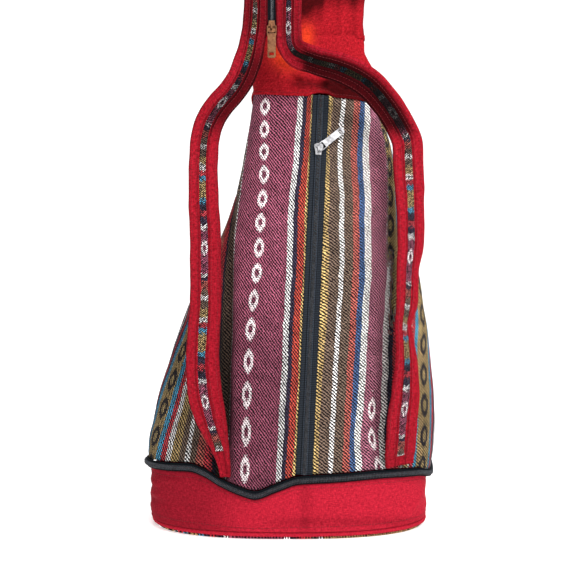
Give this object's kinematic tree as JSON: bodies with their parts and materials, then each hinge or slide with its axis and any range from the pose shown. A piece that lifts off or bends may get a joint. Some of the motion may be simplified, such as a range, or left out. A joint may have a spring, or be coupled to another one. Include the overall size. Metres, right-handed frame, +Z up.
{
  "type": "sling backpack",
  "caption": "Tapered sling backpack of striped woven cotton and red canvas, with zips in its front, base and split strap.",
  "frame": {"origin": "middle of the flat underside of the base", "axes": "+Z up from the base to the strap, -Y out of the front with the zip, +X to the viewer's right as the front is looked at"},
  "size_m": [0.3152, 0.1771, 0.6963],
  "materials": {
    "red_canvas": "matte canvas",
    "woven_cotton": "matte striped weave",
    "woven_trim": "matte striped weave",
    "black_tape": "matte zip tape",
    "black_coil": "semi-gloss coil",
    "silver_metal": "worn nickel plate",
    "old_brass": "antique brass"
  },
  "bodies": {
    "bag": {"base_panel": "woven_cotton", "base_hem": "red_canvas", "base_band": "red_canvas", "base_tape_lower": "black_tape", "base_tape_upper": "black_tape", "base_coil_lower": "black_coil", "base_coil_upper": "black_coil", "compartment_floor": "woven_cotton", "cloth_left": "woven_cotton", "cloth_right": "woven_cotton", "cloth_back": "woven_cotton", "front_tape_left": "black_tape", "front_tape_right": "black_tape", "front_coil_left": "black_coil", "front_coil_right": "black_coil", "yoke_front": "red_canvas", "yoke_back": "red_canvas", "strap_wide": "red_canvas", "strap_left": "red_canvas", "strap_right": "red_canvas", "trim_left": "woven_trim", "trim_right": "woven_trim", "strap_tape_left": "black_tape", "strap_tape_right": "black_tape", "strap_coil_left": "black_coil", "strap_coil_right": "black_coil"},
    "front_slider": {"front_slider": "silver_metal"},
    "front_pull": {"front_pull": "silver_metal"},
    "strap_slider": {"strap_slider": "old_brass"},
    "strap_pull": {"strap_pull": "old_brass"},
    "base_slider": {"base_slider": "silver_metal"},
    "base_pull": {"base_pull": "silver_metal"}
  },
  "joints": [
    {"name": "front_zip", "type": "slide", "parent": "bag", "child": "front_slider", "axis": [0.0475, 0.1062, 0.9932], "range_m": [-0.3235, 0.0521]},
    {"name": "front_pull_hinge", "type": "hinge", "parent": "front_slider", "child": "front_pull", "pos_m": [0.02983, -0.04632, 0.39793], "axis": [0.6331, -0.0789, -0.7701], "range_deg": [0, 170]},
    {"name": "strap_zip", "type": "slide", "parent": "bag", "child": "strap_slider", "axis": [0, 0, 1], "range_m": [-0.0019, 0.1205]},
    {"name": "strap_pull_hinge", "type": "hinge", "parent": "strap_slider", "child": "strap_pull", "pos_m": [-0.01848, -0.06915, 0.51704], "axis": [-1, 0, 0], "range_deg": [0, 170]},
    {"name": "base_zip", "type": "slide", "parent": "bag", "child": "base_slider", "axis": [-1, 0, 0], "range_m": [-0.021, 0.058]},
    {"name": "base_pull_hinge", "type": "hinge", "parent": "base_slider", "child": "base_pull", "pos_m": [0.01848, 0.081, 0.06394], "axis": [0.8192, 0, 0.5736], "range_deg": [0, 170]}
  ]
}
